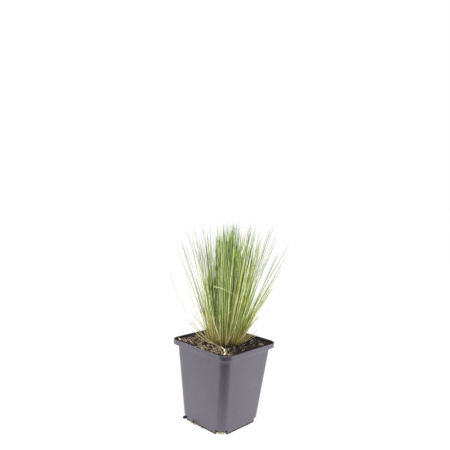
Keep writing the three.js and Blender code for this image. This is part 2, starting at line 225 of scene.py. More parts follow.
class Gathered:
    """Collects closed skins, with a few numbers for each of their points, into one mesh."""

    def __init__(self):
        self.points, self.faces, self.values, self.size = [], [], {}, 0

    def include(self, points, faces, **values):
        self.points.append(points)
        self.faces += [f + self.size for f in faces]
        self.size += len(points)
        for key, value in values.items():
            self.values.setdefault(key, []).append(np.broadcast_to(value, len(points)))

    def strands(self, paths, radii, sides=5, turn=None, flat=0.7, **values):
        """Tubes. values: for each, one number for a strand (n) or one for each path point (n, k)."""
        count, steps = paths.shape[:2]
        skin = strand_skin(paths, radii, sides, np.zeros(count) if turn is None else turn, flat)
        offsets = (np.arange(count) * skin.shape[1])[:, None, None]
        faces = [(f + offsets).reshape(-1, f.shape[1]) for f in skin_faces(steps - 1, sides)]
        spread = {}
        for key, value in values.items():
            value = np.broadcast_to(value.T, (steps, count)).T
            rings = np.repeat(value[:, :-1], sides, axis=1)
            spread[key] = np.concatenate([rings, value[:, :1], value[:, -1:]], axis=1).ravel()
        self.include(skin.reshape(-1, 3), faces, **spread)

    def lump(self, rng, centre, size, turn=0.0, rough=0.2, boxy=1.0, rings=7, sides=11, **values):
        """An uneven body of that size over all. boxy below 1 gives it flatter sides and edges."""
        tilt = np.linspace(math.pi, 0, rings + 2)[1:-1, None]
        around = circle(sides)
        level = np.cos(tilt) * np.ones(sides)
        rays = np.stack([np.sin(tilt) * np.cos(around), np.sin(tilt) * np.sin(around), level], axis=-1)
        waves = rng.normal(0, 2.5, (5, 3))
        push = 1 + rough / 2 * np.sin(rays @ waves.T + rng.uniform(0, TURN, 5)).sum(axis=-1)
        skin = np.sign(rays) * np.abs(rays) ** boxy * push[..., None] * size / 2
        c, s = math.cos(turn), math.sin(turn)
        skin = skin @ np.array([[c, s, 0], [-s, c, 0], [0, 0, 1]]) + centre
        half = np.array([0, 0, size[2] / 2])
        points, faces = loft(skin, centre - half, centre + half)
        self.include(points, faces, **values)

    def finish(self, name, material, slot, *nodes):
        """Makes all that is gathered into one piece of that name, flat where it rests on the floor."""
        points = np.concatenate(self.points)
        points[:, 2] = np.maximum(points[:, 2], 0.0)
        values = {key: np.concatenate(value) for key, value in self.values.items()}
        finish_piece(mesh_object(name, points, self.faces, **values), material, slot, *nodes)


# -------- materials


def rgb(code):
    """A colour from six hex digits, as Blender's linear numbers."""
    parts = [int(code[i : i + 2], 16) / 255 for i in (0, 2, 4)]
    linear = [c / 12.92 if c <= 0.04045 else ((c + 0.055) / 1.055) ** 2.4 for c in parts]
    return (*linear, 1.0)


class Nodes:
    """A node tree, with a short call to add a node and feed its sockets."""

    def __init__(self, tree):
        self.tree = tree

    def feed(self, socket, value):
        if isinstance(value, bpy.types.NodeSocket):
            self.tree.links.new(value, socket)
        else:
            socket.default_value = value

    def node(self, kind, inputs=None, **settings):
        node = self.tree.nodes.new("ShaderNode" + kind)
        for key, value in settings.items():
            setattr(node, key, value)
        for key, value in (inputs or {}).items():
            self.feed(node.inputs[key], value)
        return node

    def along(self, place, direction):
        """How far a place lies in that direction."""
        return self.node("VectorMath", {0: place, 1: direction}, operation="DOT_PRODUCT").outputs["Value"]

    def camera_ray(self):
        """1 for what is looked at, and 0 for what lights the object or shines in it."""
        return self.node("LightPath").outputs["Is Camera Ray"]


class Shader(Nodes):
    """A new material's nodes, with a short call for each kind. A colour may be six hex digits."""

    def __init__(self, name):
        self.material = bpy.data.materials.new(name)
        self.material.use_nodes = True
        super().__init__(self.material.node_tree)
        self.surface = self.tree.nodes["Principled BSDF"]
        self.place = self.node("TexCoord").outputs["Object"]

    def set(self, **inputs):
        for key, value in inputs.items():
            self.feed(self.surface.inputs[key.replace("_", " ")], value)

    def attribute(self, name):
        return self.node("Attribute", attribute_name=name).outputs["Fac"]

    def noise(self, size, detail=4.0, roughness=0.55, stretch=(1, 1, 1)):
        """Noise from 0 to 1 with blobs about size mm across, drawn out where a stretch is small."""
        place = self.node("Mapping", {"Vector": self.place, "Scale": stretch}).outputs["Vector"]
        inputs = {"Vector": place, "Scale": 1 / (size * MM), "Detail": detail, "Roughness": roughness}
        return self.node("TexNoise", inputs).outputs["Fac"]

    def range(self, value, low, high, to_low=0.0, to_high=1.0):
        inputs = {"Value": value, 1: low, 2: high, 3: to_low, 4: to_high}
        return self.node("MapRange", inputs, interpolation_type="SMOOTHSTEP").outputs["Result"]

    def math(self, operation, a, b):
        return self.node("Math", {0: a, 1: b}, operation=operation).outputs[0]

    def ramp(self, factor, stops):
        node = self.node("ValToRGB", {"Fac": factor})
        elements = node.color_ramp.elements
        while len(elements) < len(stops):
            elements.new(0.5)
        for element, (position, code) in zip(elements, stops):
            element.position = position
            element.color = rgb(code)
        return node.outputs["Color"]

    def mix(self, factor, a, b, blend="MIX"):
        a, b = (rgb(colour) if isinstance(colour, str) else colour for colour in (a, b))
        return self.node("Mix", {0: factor, 6: a, 7: b}, data_type="RGBA", blend_type=blend).outputs[2]

    def tint(self, colour, code, mask, low, high, most, blend="MIX"):
        """Lays one more colour over: nothing where the mask is at low, and that much at high."""
        return self.mix(self.range(mask, low, high, 0.0, most), colour, code, blend)

    def bump(self, height, depth, strength=1.0):
        inputs = {"Height": height, "Distance": depth * MM, "Strength": strength}
        return self.node("Bump", inputs).outputs["Normal"]


FRESH_GREEN = [(0.0, "fffbd6"), (0.22, "e4ec9c"), (0.5, "a6c75c"), (0.74, "618b35"), (1.0, "172c0c")]
PALE_GREEN = [(0.0, "f8f6ac"), (0.35, "cbd86c"), (0.7, "7d9444"), (1.0, "3b4a28")]
STRAW = [(0.0, "fff3d2"), (0.45, "d0bb8a"), (1.0, "94804f")]
WITHERED = "4a453a"
SHEATH = [(0.0, "f3e3a8"), (0.4, "cbbb6c"), (0.75, "9a8b47"), (1.0, "5e5328")]
BARK_SHADES = [(0.0, "4f3f32"), (0.5, "76614b"), (1.0, "a58f72")]
PERLITE_SHADES = [(0.0, "d8d4cb"), (1.0, "f6f4ef")]
FIBRE_SHADES = [(0.0, "fbf1da"), (0.4, "bfa983"), (1.0, "59493a")]
ROOT_SHADES = [(0.0, "7b6449"), (0.5, "cbb48c"), (1.0, "f8eed8")]


def blade_material(name, fresh):
    """Leaf blades: tone picks a shade for each blade, and dry turns it to straw.

    rise is the height, which takes it from sheath to green, and tip is where it has withered.
    """
    s = Shader(name)
    tone, dry, rise, tip = (s.attribute(key) for key in ("tone", "dry", "rise", "tip"))
    streaks = s.noise(0.8, detail=3, stretch=(1, 1, 0.06))
    mottle = s.noise(5.0, detail=2, stretch=(1, 1, 0.35))
    green = s.ramp(s.math("ADD", tone, s.range(mottle, 0.3, 0.7, -0.08, 0.08)), fresh)
    colour = s.mix(dry, green, s.ramp(tone, STRAW))
    colour = s.mix(s.range(rise, 0.02, 0.2, 0.8, 0.0), colour, s.ramp(tone, SHEATH))
    colour = s.tint(colour, "8fae5c", rise, 0.5, 0.95, 0.35, "MULTIPLY")
    colour = s.tint(colour, "86984c", streaks, 0.35, 0.65, 0.22, "MULTIPLY")
    colour = s.mix(tip, colour, WITHERED)
    s.set(Base_Color=colour, Roughness=s.range(streaks, 0.2, 0.8, 0.42, 0.6))
    s.set(Specular_IOR_Level=0.2, Normal=s.bump(streaks, 0.05, 0.4))
    return s.material


def pot_material():
    """Thin black-violet moulded plastic: satin, a little scuffed and dusty, soil stains at the foot, and a
    dark band right at the bottom that is partly soil and partly painted contact shadow.
    """
    s = Shader("pot_plastic_moulded")
    clouds = s.noise(26, detail=3)
    drag = s.noise(3.0, detail=5, roughness=0.7, stretch=(1, 1, 0.08))
    dust = s.noise(1.1, detail=6, roughness=0.75)
    specks = s.noise(0.55, detail=2, roughness=0.4)
    height = s.node("SeparateXYZ", {"Vector": s.place}).outputs["Z"]
    colour = s.ramp(clouds, [(0.3, "1f1824"), (0.7, "272029")])
    colour = s.tint(colour, "39323c", drag, 0.42, 0.75, 0.3)
    stain = s.math("MULTIPLY", s.range(height, 0.002, 0.016, 0.75, 0.0), s.range(dust, 0.5, 0.66))
    # The dark band right at the bottom is partly soil and partly painted shadow where the pot meets the
    # floor.
    edge = s.math("MULTIPLY", s.range(height, 0.0008, 0.0035, 1.0, 0.0), s.range(dust, 0.3, 0.55, 0.4, 1.0))
    colour = s.mix(s.math("MAXIMUM", stain, edge), colour, "3b2f27")
    colour = s.tint(colour, "9b958f", specks, 0.68, 0.74, 0.5)
    roughness = s.math("ADD", s.range(dust, 0.3, 0.7, 0.36, 0.5), s.range(drag, 0.3, 0.8, 0.0, 0.1))
    grain = s.math("ADD", s.noise(0.35, detail=2), s.math("MULTIPLY", drag, 0.6))
    roughness = s.math("MAXIMUM", roughness, edge)
    s.set(Base_Color=colour, Roughness=roughness, Normal=s.bump(grain, 0.03, 0.35))
    s.set(Specular_IOR_Level=0.95, Specular_Tint=(0.88, 0.84, 1.0, 1.0))
    return s.material


def soil_material():
    """Moist peat with pale fibres, darker in wet patches. Painted shade makes it near black in its hollows
    and darker towards the right, and painted light makes its high crumbs lighter.
    """
    s = Shader("peat")
    relief = s.attribute("relief")
    grains = s.noise(0.9, detail=6, roughness=0.7)
    patches = s.noise(9, detail=3)
    fibres = s.noise(0.5, detail=3, stretch=(1, 0.14, 1))
    rightwards = s.along(s.place, RIGHTWARDS)
    # Wet patches darken it in part; the rest is painted shade that darkens the right side.
    wet_and_shade = s.math("ADD", s.range(patches, 0.35, 0.65, 0.0, 0.5), s.range(rightwards, 0.0, 0.03, 0.0, 0.8))
    # Height becomes painted shade and light: near black in the hollows, lighter on the high crumbs.
    colour = s.ramp(relief, [(0.2, "010101"), (0.42, "0f0b08"), (0.62, "2b211c"), (0.95, "5d4b41")])
    colour = s.mix(wet_and_shade, colour, "5c504a", "MULTIPLY")
    colour = s.tint(colour, "3a3028", grains, 0.52, 0.7, 0.55)
    colour = s.tint(colour, "060403", grains, 0.48, 0.36, 0.8)
    colour = s.tint(colour, "b7a280", fibres, 0.66, 0.74, 0.7)
    s.set(Base_Color=colour, Roughness=s.range(grains, 0.3, 0.7, 0.7, 0.95))
    s.set(Specular_IOR_Level=0.3, Normal=s.bump(grains, 0.4, 0.8))
    return s.material


def litter_material(name, shades, grain):
    """Bits on the soil: tone picks a shade, and a grain of that size in mm runs through it."""
    s = Shader(name)
    streaks = s.noise(grain, detail=5, roughness=0.65)
    colour = s.ramp(s.attribute("tone"), shades)
    colour = s.tint(colour, "6e5c48", streaks, 0.45, 0.7, 0.55, "MULTIPLY")
    s.set(Base_Color=colour, Roughness=s.range(streaks, 0.3, 0.7, 0.6, 0.85))
    s.set(Specular_IOR_Level=0.3, Normal=s.bump(streaks, 0.12, 0.6))
    return s.material


def floor_material():
    """White to look at. What it sheds on the object fades towards the front, as a table ends."""
    s = Shader("white_sweep")
    white = s.ramp(s.noise(400, detail=1), [(0.0, "fdfdfd"), (1.0, "ffffff")])
    shed = s.range(s.along(s.place, TOWARDS_CAMERA), 0.0, 0.26, 0.82, 0.08)
    seen = s.camera_ray()
    away = s.node("VectorMath", {0: s.place}, operation="LENGTH").outputs["Value"]
    strength = s.math("MAXIMUM", shed, s.math("MULTIPLY", seen, s.range(away, 0.06, 0.4, 0.9, 0.985)))
    base = s.mix(seen, s.mix(shed, "303030", white), "505050")
    s.set(Base_Color=base, Roughness=0.9, Specular_IOR_Level=0.0)
    s.set(Emission_Color=white, Emission_Strength=strength)
    return s.material


# -------- camera, light and floor


def make_camera():
    azimuth, pitch, roll = map(math.radians, (CAMERA.azimuth, CAMERA.pitch, CAMERA.roll))
    flat = math.cos(pitch)
    back = Vector((math.sin(azimuth) * flat, -math.cos(azimuth) * flat, math.sin(pitch)))
    right = Vector((math.cos(azimuth), math.sin(azimuth), 0))
    up = back.cross(right)
    turned_right = right * math.cos(roll) + up * math.sin(roll)
    turned_up = up * math.cos(roll) - right * math.sin(roll)
    data = bpy.data.cameras.new("camera")
    data.lens = CAMERA.lens
    data.sensor_width = CAMERA.sensor
    data.clip_start = 0.01
    camera = add_object("camera", data)
    turn = Matrix((turned_right, turned_up, back)).transposed().to_4x4()
    camera.matrix_world = Matrix.Translation(CAMERA.place) @ turn
    bpy.context.scene.camera = camera


def make_world():
    """Pure white to look at. As light, it is bright behind and beside the plant and dim in front."""
    world = bpy.data.worlds.new("studio")
    world.use_nodes = True
    bpy.context.scene.world = world
    world.node_tree.nodes.clear()
    s = Nodes(world.node_tree)
    ahead = s.along(s.node("TexCoord").outputs["Generated"], TOWARDS_CAMERA)
    falloff = s.node("MapRange", {"Value": ahead, 1: -0.6, 2: 0.9, 3: 0.6, 4: 0.05}).outputs["Result"]
    light = s.node("Background", {"Color": (1.0, 0.985, 0.97, 1.0), "Strength": falloff})
    white = s.node("Background", {"Color": (1.0, 1.0, 1.0, 1.0), "Strength": 1.0})
    choice = s.node("MixShader", {0: s.camera_ray(), 1: light.outputs[0], 2: white.outputs[0]})
    s.node("OutputWorld", {"Surface": choice.outputs[0]})


# Each softbox, in metres: how far to the right of the plant, nearer and higher it hangs, its sides,
# and then its power.
SOFTBOXES = {
    "left_box": ((-0.85, 0.05, 0.3), (0.6, 0.8), 6.4),
    "right_box": ((0.85, 0.05, 0.3), (0.6, 0.8), 6.8),
    "rim_box": ((-0.7, -0.75, 0.6), (0.6, 0.6), 5.0),
    "top_box": ((0.0, 0.55, 0.95), (0.7, 0.7), 15.0),
}
PLANT_MIDDLE = Vector((0, 0, 0.12))


def make_lights():
    """Area lights that face the plant's middle."""
    for name, ((right, near, up), sides, power) in SOFTBOXES.items():
        data = bpy.data.lights.new(name, "AREA")
        data.shape = "RECTANGLE"
        data.size, data.size_y = sides
        data.energy = power
        lamp = add_object(name, data)
        lamp.location = RIGHTWARDS * right + TOWARDS_CAMERA * near + Vector((0, 0, up))
        lamp.rotation_mode = "QUATERNION"
        lamp.rotation_quaternion = (PLANT_MIDDLE - lamp.location).to_track_quat("-Z", "Y")
    bpy.context.scene.view_settings.view_transform = "Standard"


def make_floor():
    half = 6000.0
    corners = np.array([[-half, -half, 0], [half, -half, 0], [half, half, 0], [-half, half, 0]])
    floor = mesh_object("floor", corners, [np.array([[0, 1, 2, 3]])])
    floor.data.materials.append(floor_material())


# -------- pot


def rounded_ring(half, radius, z, arc=14, divisions=14):
    """A square with round corners, anticlockwise, as (n, 3); its straight sides are divided too."""
    ring = []
    for corner in range(4):
        middle = (corner + 0.5) * math.pi / 2
        cx = math.copysign(half - radius, math.cos(middle))
        cy = math.copysign(half - radius, math.sin(middle))
        for i in range(arc + 1):
            angle = (corner + i / arc) * math.pi / 2
            ring.append((cx + radius * math.cos(angle), cy + radius * math.sin(angle)))
        heading = (corner + 2) * math.pi / 2
        along = 2 * (half - radius) / divisions
        x, y = ring[-1]
        for i in range(1, divisions):
            ring.append((x + along * i * math.cos(heading), y + along * i * math.sin(heading)))
    return level_ring(ring, z)


def wall_at(z):
    """Half width and corner radius of the pot's outer wall at a height below the collar."""
    share = z / (POT.height - POT.collar)
    half = POT.base + (POT.rim - POT.step - POT.base) * share
    return half, POT.corner_base + (POT.corner_wall - POT.corner_base) * share


def bulged(ring, half, radius, amount):
    """Pushes the flat sides out, most at their middles, as a thin full pot is."""
    x, y = np.abs(ring[:, :2]).T
    push = amount * np.cos(np.clip(np.minimum(x, y) / (half - radius), 0, 1) * math.pi / 2) ** 2
    facing = np.column_stack([x > y, x <= y, np.zeros(len(x))])
    return ring + np.sign(ring) * facing * push[:, None]


def wall_rings(inset):
    """The pot's outer surface from floor to lip (inset 0), or a surface that far inside it."""
    floor = POT.floor if inset else 0.0
    rings = []
    for angle in np.linspace(0, math.pi / 2, 4):
        z = floor + POT.foot_bevel * (1 - math.cos(angle))
        back = inset + POT.foot_bevel * (1 - math.sin(angle))
        half, radius = wall_at(z)
        rings.append(rounded_ring(half - back, radius - inset, z))
    shoulder = POT.height - POT.collar + inset * 0.8
    low = floor + POT.foot_bevel
    top = shoulder - SHOULDER.below
    for share in np.linspace(0.06, 1, 22):
        z = low + (top - low) * share
        half, radius = wall_at(z)
        ring = rounded_ring(half - inset, radius - inset, z)
        rings.append(bulged(ring, half - inset, radius - inset, POT.bulge * math.sin(math.pi * share)))
    wall_top = wall_at(shoulder)[0]
    for t in np.linspace(0.1, 1, 10):
        share = bezier(t, *SHOULDER.shares)
        half = wall_top + (POT.rim - wall_top) * share - inset
        radius = POT.corner_wall + (POT.corner_rim - POT.corner_wall) * share - inset
        rings.append(rounded_ring(half, radius, shoulder + bezier(t, *SHOULDER.rises)))
    for z in np.linspace(shoulder + SHOULDER.above, POT.height - POT.lip, 4):
        rings.append(rounded_ring(POT.rim - inset, POT.corner_rim - inset, z))
    return rings


def lip_rings():
    """The half round that joins the outer and inner surfaces over the lip."""
    rings = []
    for angle in np.linspace(0, math.pi, 7)[1:-1]:
        inset = POT.wall / 2 * (1 - math.cos(angle))
        z = POT.height - POT.lip * (1 - math.sin(angle))
        rings.append(rounded_ring(POT.rim - inset, POT.corner_rim - inset, z))
    return rings


def block(corner, size):
    """A box from its lowest corner and size, as an object to cut with."""
    points = np.indices((2, 2, 2)).reshape(3, 8).T * size + corner
    quads = np.array([[0, 1, 3, 2], [4, 6, 7, 5], [0, 4, 5, 1], [2, 3, 7, 6], [0, 2, 6, 4], [1, 5, 7, 3]])
    return mesh_object("cutter", points, [quads])


def pin(x, y, radius, low, high, sides=36):
    """An upright round pin, as an object to cut with."""
    ring = polar(radius, circle(sides)) + [x, y]
    points, faces = loft([level_ring(ring, z) for z in (low, high)], (x, y, low), (x, y, high))
    return mesh_object("cutter", points, faces)


def carve(obj, cutters):
    """Cuts the cutters out of obj for good, and removes them."""
    for cutter in cutters:
        modifier = obj.modifiers.new("cut", "BOOLEAN")
        modifier.operation = "DIFFERENCE"
        modifier.solver = "EXACT"
        modifier.object = cutter
    evaluated = obj.evaluated_get(bpy.context.evaluated_depsgraph_get())
    obj.data = bpy.data.meshes.new_from_object(evaluated)
    obj.modifiers.clear()
    for cutter in cutters:
        bpy.data.objects.remove(cutter)


def pot_cutters():
    """A block for the notch at each bottom corner and a pin for each drain hole."""
    beyond, below = 5.0, 1.0
    inner = POT.base - POT.corner_base
    size = POT.corner_base + beyond
    cutters = []
    for x in (-inner - size, inner):
        for y in (-inner - size, inner):
            cutters.append(block((x, y, -below), (size, size, POT.notch + below)))
    for x, y in ((1, 0), (0, 1), (-1, 0), (0, -1)):
        place = (POT.drain_offset * x, POT.drain_offset * y)
        cutters.append(pin(*place, POT.drain_radius, -below, POT.floor + below))
    return cutters


def make_pot():
    rings = wall_rings(0.0) + lip_rings() + wall_rings(POT.wall)[::-1]
    pot = mesh_object("nursery_pot", *loft(rings, (0, 0, 0), (0, 0, POT.floor)))
    carve(pot, pot_cutters())
    pot.data.shade_smooth()
    pot.data.set_sharp_from_angle(angle=math.radians(35))
    finish_piece(pot, pot_material(), "pot_plastic", "pot")


# -------- soil

SOIL_CELLS = 230
# The strip along the pot's wall in which the relief fades out, and how far the surface drops there.
SOIL_EDGE = Values(share=0.05, drop=0.9)
# The compost's sides from the collar down. Height, half width and corner radius of the uppermost,
# then height, distance inside the pot's outer wall and corner radius. The lowest two corners stay
# clear of the pot's notches.
SOIL_SHOULDER = (88.6, 41.2, 9.2)
SOIL_SIDES = [(86.0, 1.3, 8.5), (9.0, 1.3, 8.2), (8.0, 1.3, 28.0), (1.6, 1.4, 28.0)]


def lumps(x, y):
    """The CAD surface's crumbly relief."""
    return (
        0.45 * np.sin(0.83 * x + 0.31 * y + 1.3)
        + 0.35 * np.sin(0.52 * y - 0.71 * x + 4.1)
        + 0.3 * np.sin(1.27 * y + 0.44 * x + 2.2)
        + 0.2 * np.sin(1.71 * x - 1.13 * y)
    )


def fine_relief(x, y):
    """Clods and grains on top of it, from about -1.6 to 1.6 mm."""
    clods = 1.0 - 2.0 * np.abs(value_noise(x, y, 4.2, 1))
    crumbs = 1.0 - 2.0 * np.abs(value_noise(x, y, 1.9, 2))
    return 0.75 * clods + 0.5 * crumbs + 0.3 * value_noise(x, y, 0.8, 3) - 0.2


def soil_height(x, y):
    away = np.hypot(x - CROWN.x, y - CROWN.y) / SOIL.mound_reach
    base = SOIL.level + SOIL.mound * np.exp(-away * away)
    return base + SOIL.lump * lumps(x, y) + fine_relief(x, y)


def coarse_soil(x, y):
    """The compost's height without its clods, as the CAD body has it."""
    return soil_height(x, y) - fine_relief(x, y)


def outline_reach(angle, half, radius):
    """How far a square with round corners reaches from its middle at each angle."""
    c, s = np.abs(np.cos(angle)), np.abs(np.sin(angle))
    straight = half / np.maximum(c, s)
    k = half - radius
    along = k * (c + s)
    arc = along + np.sqrt(np.maximum(along**2 - 2 * k * k + radius**2, 0))
    return np.where(np.minimum(c, s) * straight > k, arc, straight)


def soil_top():
    """The crumbled top: its points in a square grid, the angle of each, and how far it stands out."""
    line = np.linspace(-1, 1, SOIL_CELLS + 1)
    u, v = np.meshgrid(line, line, indexing="ij")
    angle = np.arctan2(v, u)
    share = np.maximum(np.abs(u), np.abs(v))
    reach = outline_reach(angle, POT.rim - POT.wall - SOIL.gap, POT.corner_rim - POT.wall)
    x, y = share * reach * np.cos(angle), share * reach * np.sin(angle)
    inside = np.clip((1 - share) / SOIL_EDGE.share, 0, 1)
    z = SOIL.level + (soil_height(x, y) - SOIL.level) * inside - SOIL_EDGE.drop * (1 - inside)
    # The peat paints this as shade: darkest where it is low, in the hollows and in the strip along the wall
    # where it fades out.
    relief = np.clip(0.5 + 0.5 * (lumps(x, y) * SOIL.lump + fine_relief(x, y)), 0, 1) * inside
    return np.stack([x, y, z], axis=-1), angle, relief


def soil_rings(angle):
    """The rings of the compost's sides at those angles, from the top down."""
    sides = [SOIL_SHOULDER] + [(z, wall_at(z)[0] - inside, radius) for z, inside, radius in SOIL_SIDES]
    return [level_ring(polar(outline_reach(angle, half, radius), angle), z) for z, half, radius in sides]


def make_soil(peat):
    """One body: a finely crumbled top on sides that follow the pot, hollowed at its bottom corners."""
    grid, angle, relief = soil_top()
    top = grid.reshape(-1, 3)
    index = np.arange(len(top)).reshape(angle.shape)
    quads = np.stack([index[:-1, :-1], index[1:, :-1], index[1:, 1:], index[:-1, 1:]], axis=-1)
    border = np.concatenate([index[:-1, 0], index[-1, :-1], index[:0:-1, -1], index[0, :0:-1]])
    rings = soil_rings(angle.ravel()[border])
    count = len(border)
    below = len(top) + np.arange(len(rings) * count).reshape(-1, count)
    loops = np.concatenate([border[None], below])
    after = np.roll(loops, -1, axis=1)
    skirt = np.stack([loops[:-1], loops[1:], after[1:], after[:-1]], axis=-1)
    points = np.concatenate([top, *rings, [[0, 0, SOIL_SIDES[-1][0]]]])
    bottom = np.stack([loops[-1], np.full(count, len(points) - 1), after[-1]], axis=-1)
    shade = np.concatenate([relief.ravel(), np.full(len(points) - len(top), 0.3)])
    faces = [quads.reshape(-1, 4), skirt.reshape(-1, 4), bottom]
    soil = mesh_object("compost", points, faces, relief=shade)
    finish_piece(soil, peat, "potting_soil", "soil")


# -------- the law that the blades grow by, as in the CAD source

# A table of blades has these columns: where its root is, its lean and how much further it bends, in
# degrees, its length, then its wander and its drift sideways for each millimetre of height. A fine
# blade has its tone from pale to dark too, and whether it is dry.
X, Y, LEAN, BEND, LENGTH, TONE, DRIED = 0, 1, 2, 3, 4, 9, 10
ROOT, WANDER, DRIFT = slice(0, 2), slice(5, 7), slice(7, 9)


def outer_share(out):
    return min(max((out - 1.09) / 0.16, 0.0), 1.0)


def dense_habit(out, side, draw):
    return (16 + 2 * side) * out**1.15, (3.5 * side - 8.5) * out


def loose_habit(out, side, draw):
    lean = 13.5 + 2 * side + 4 * outer_share(out) + 2 * draw()
    return lean, 4 + 4 * draw()


def dry_habit(out, side, draw):
    return 32 + 16 * outer_share(out), -8 + 14 * draw()


# The three kinds of tuft as the CAD source has them, as far as the length. Then how a CAD blade is
# split into finer ones: the share of long ones, the seed, how many, how far their roots stray, how
# they lean apart and drift, their widest lean, and how thick and how often dry they are.
DENSE = Values(
    reach=2.4, sunk=2.2, wander=0.008, blades=lambda side: 20, habit=dense_habit,
    length=lambda out, draw: 1 - 0.06 * out - (0.22 + 0.2 * out) * draw() ** 1.5,
    long=0.03, seed=511, split=3.1, stray=1.4, tiller_fan=2.0, tiller_drift=0.016, blade_fan=0.9,
    widest=24, radius=0.3, dry=0.06, sheath=0.42,
)
LOOSE = Values(
    reach=1.25, sunk=1.8, wander=0.02, blades=lambda side: math.floor(8 + 2 * side + 0.5),
    habit=loose_habit, length=lambda out, draw: 0.6 + 0.42 * draw(),
    long=0.03, seed=53, split=2.8, stray=1.3, tiller_fan=2.1, tiller_drift=0.035, blade_fan=0.9,
    widest=27, radius=0.23, dry=0.15, sheath=0.36,
)
DRY = Values(
    reach=0.8, sunk=1.3, wander=0.02, blades=lambda side: 5,
    habit=dry_habit, length=lambda out, draw: 0.22 + 0.3 * draw(),
    long=0.0, seed=66, split=2, stray=0.7, tiller_fan=3.0, tiller_drift=0.05, blade_fan=2.0,
    widest=60, radius=0.26, dry=1.0, sheath=0.26,
)
# Blades that belong to no tuft.
SINGLE = Values(sunk=1.8, radius=0.24)


def side_of(x, y):
    return math.cos(math.atan2(y, x) - STANCE.azimuth)


def stance_drift(x, y):
    """Where the tussock's lean and its parting carry a blade, for each millimetre of height."""
    lean = np.array([math.cos(STANCE.azimuth), math.sin(STANCE.azimuth)])
    side = 1 if x * lean[0] + y * lean[1] > STANCE.parting_offset else -1
    return lean * (STANCE.tilt + side * STANCE.parting)


def cad_blades(kind, centre, seed):
    """The blades of a CAD tuft, as a table."""
    draw = stream(seed).__next__
    count = kind.blades(side_of(*centre))
    phase = draw() * TURN
    golden = math.pi * (3 - math.sqrt(5))
    rows = []
    for k in range(count):
        r = kind.reach * math.sqrt((k + 0.5) / count)
        x = centre[0] + r * math.cos(phase + k * golden)
        y = centre[1] + r * math.sin(phase + k * golden)
        out = math.hypot(x, y) / CROWN.radius
        lean, bend = kind.habit(out, side_of(x, y), draw)
        length = LONGEST * kind.length(out, draw)
        turn = draw() * TURN
        wander = (kind.wander * math.cos(turn), kind.wander * math.sin(turn))
        rows.append((x, y, lean, bend, length, *wander, *stance_drift(x, y)))
    return np.array(rows)


def blade_paths(rows, sunk, spans):
    """Points (n, spans + 1, 3) along the blades of a table."""
    x, y, lean, bend, length, wander_x, wander_y, drift_x, drift_y = (rows[:, i, None] for i in range(9))
    heading = np.arctan2(y, x)
    step = length / spans
    slope = np.radians(lean + bend * (np.arange(spans) + 0.5) / spans)
    start = np.zeros((len(rows), 1))
    out = np.concatenate([start, np.cumsum(step * np.sin(slope), axis=1)], axis=1)
    up = np.concatenate([start, np.cumsum(step * np.cos(slope), axis=1)], axis=1)
    share = step * np.arange(spans + 1) / LONGEST
    px = CROWN.x + x + out * np.cos(heading) + up * (drift_x + wander_x * share)
    py = CROWN.y + y + out * np.sin(heading) + up * (drift_y + wander_y * share)
    return np.stack([px, py, CROWN.top - sunk + up], axis=-1)


# -------- fine blades

# How the copies of a blade differ: bend in degrees, wander and drift. Then how their tone is made
# up of the tiller's, their own, and painted shade for how deep inside they root, and their least lean.
COPY = Values(bend=3.0, wander=0.02, drift=0.014, tones=(0.3, 0.7, 0.3, -0.05), least_lean=-4)
RIPPLE = 0.45


def across(rows):
    """How far right of the crown's middle each root stands, seen from the front, as a share of 1."""
    azimuth = STANCE.azimuth
    return (rows[:, X] * math.cos(azimuth) + rows[:, Y] * math.sin(azimuth)) / CROWN.radius


def heavy_tailed(rng, count):
    """Mostly small draws about 0 with a few large ones, up to 2.5."""
    return np.clip(rng.normal(0, 1, count) * rng.exponential(1, count), -2.5, 2.5)


def finer(rows, kind, rng):
    """Each row again and again, first changed as a whole and then each copy a little by itself."""
    rows = rows.copy()
    rows[:, LEAN] += kind.tiller_fan * heavy_tailed(rng, len(rows))
    rows[:, LEAN] += CLUMP.left_lean * np.clip(-across(rows), 0, 1)
    rows[:, DRIFT] += rng.normal(0, kind.tiller_drift, (len(rows), 2))
    thinned = np.clip(CLUMP.thinning * np.abs(across(rows) - CLUMP.across), 0, 1)
    copies = np.maximum(np.round(kind.split * (1 - thinned)), 1).astype(int)
    rows = np.column_stack([rows, rng.random(len(rows))])
    rows = np.repeat(rows, copies, axis=0)
    count = len(rows)
    angle = rng.uniform(0, TURN, count)
    rows[:, ROOT] += polar(kind.stray * np.sqrt(rng.random(count)), angle)
    rows[:, LEAN] += kind.blade_fan * heavy_tailed(rng, count)
    rows[:, BEND] += rng.normal(0, COPY.bend, count)
    rows[:, LEAN] = np.clip(rows[:, LEAN], COPY.least_lean, kind.widest)
    off_clump = np.clip(np.abs(across(rows) - CLUMP.across) - CLUMP.half, 0, 1)
    shorter = CLUMP.ragged * rng.random(count) ** 2
    shorter += CLUMP.fall * np.clip(off_clump / CLUMP.edge, 0, 1) * rng.random(count) ** 0.35
    rows[:, LENGTH] *= CLUMP.tallest - shorter
    long = (rng.random(count) < kind.long) * CLUMP.long * LONGEST * rng.uniform(0.85, 1, count)
    rows[:, LENGTH] = np.maximum(rows[:, LENGTH], long)
    rows[:, WANDER] += rng.normal(0, COPY.wander, (count, 2))
    rows[:, DRIFT] += rng.normal(0, COPY.drift, (count, 2))
    # Blades that root deeper inside get a darker tone: painted shade for the dim middle of the tussock.
    inside = np.clip(1 - np.hypot(rows[:, X], rows[:, Y]) / CROWN.radius, 0, 1)
    tiller_part, own_part, inner_shade_part, offset = COPY.tones
    own = rng.uniform(-0.15, 1.15, count)
    tone = tiller_part * rows[:, TONE] + own_part * own + inner_shade_part * inside + offset
    rows[:, TONE] = np.clip(tone, 0, 1)
    return np.column_stack([rows, rng.random(count) < kind.dry])


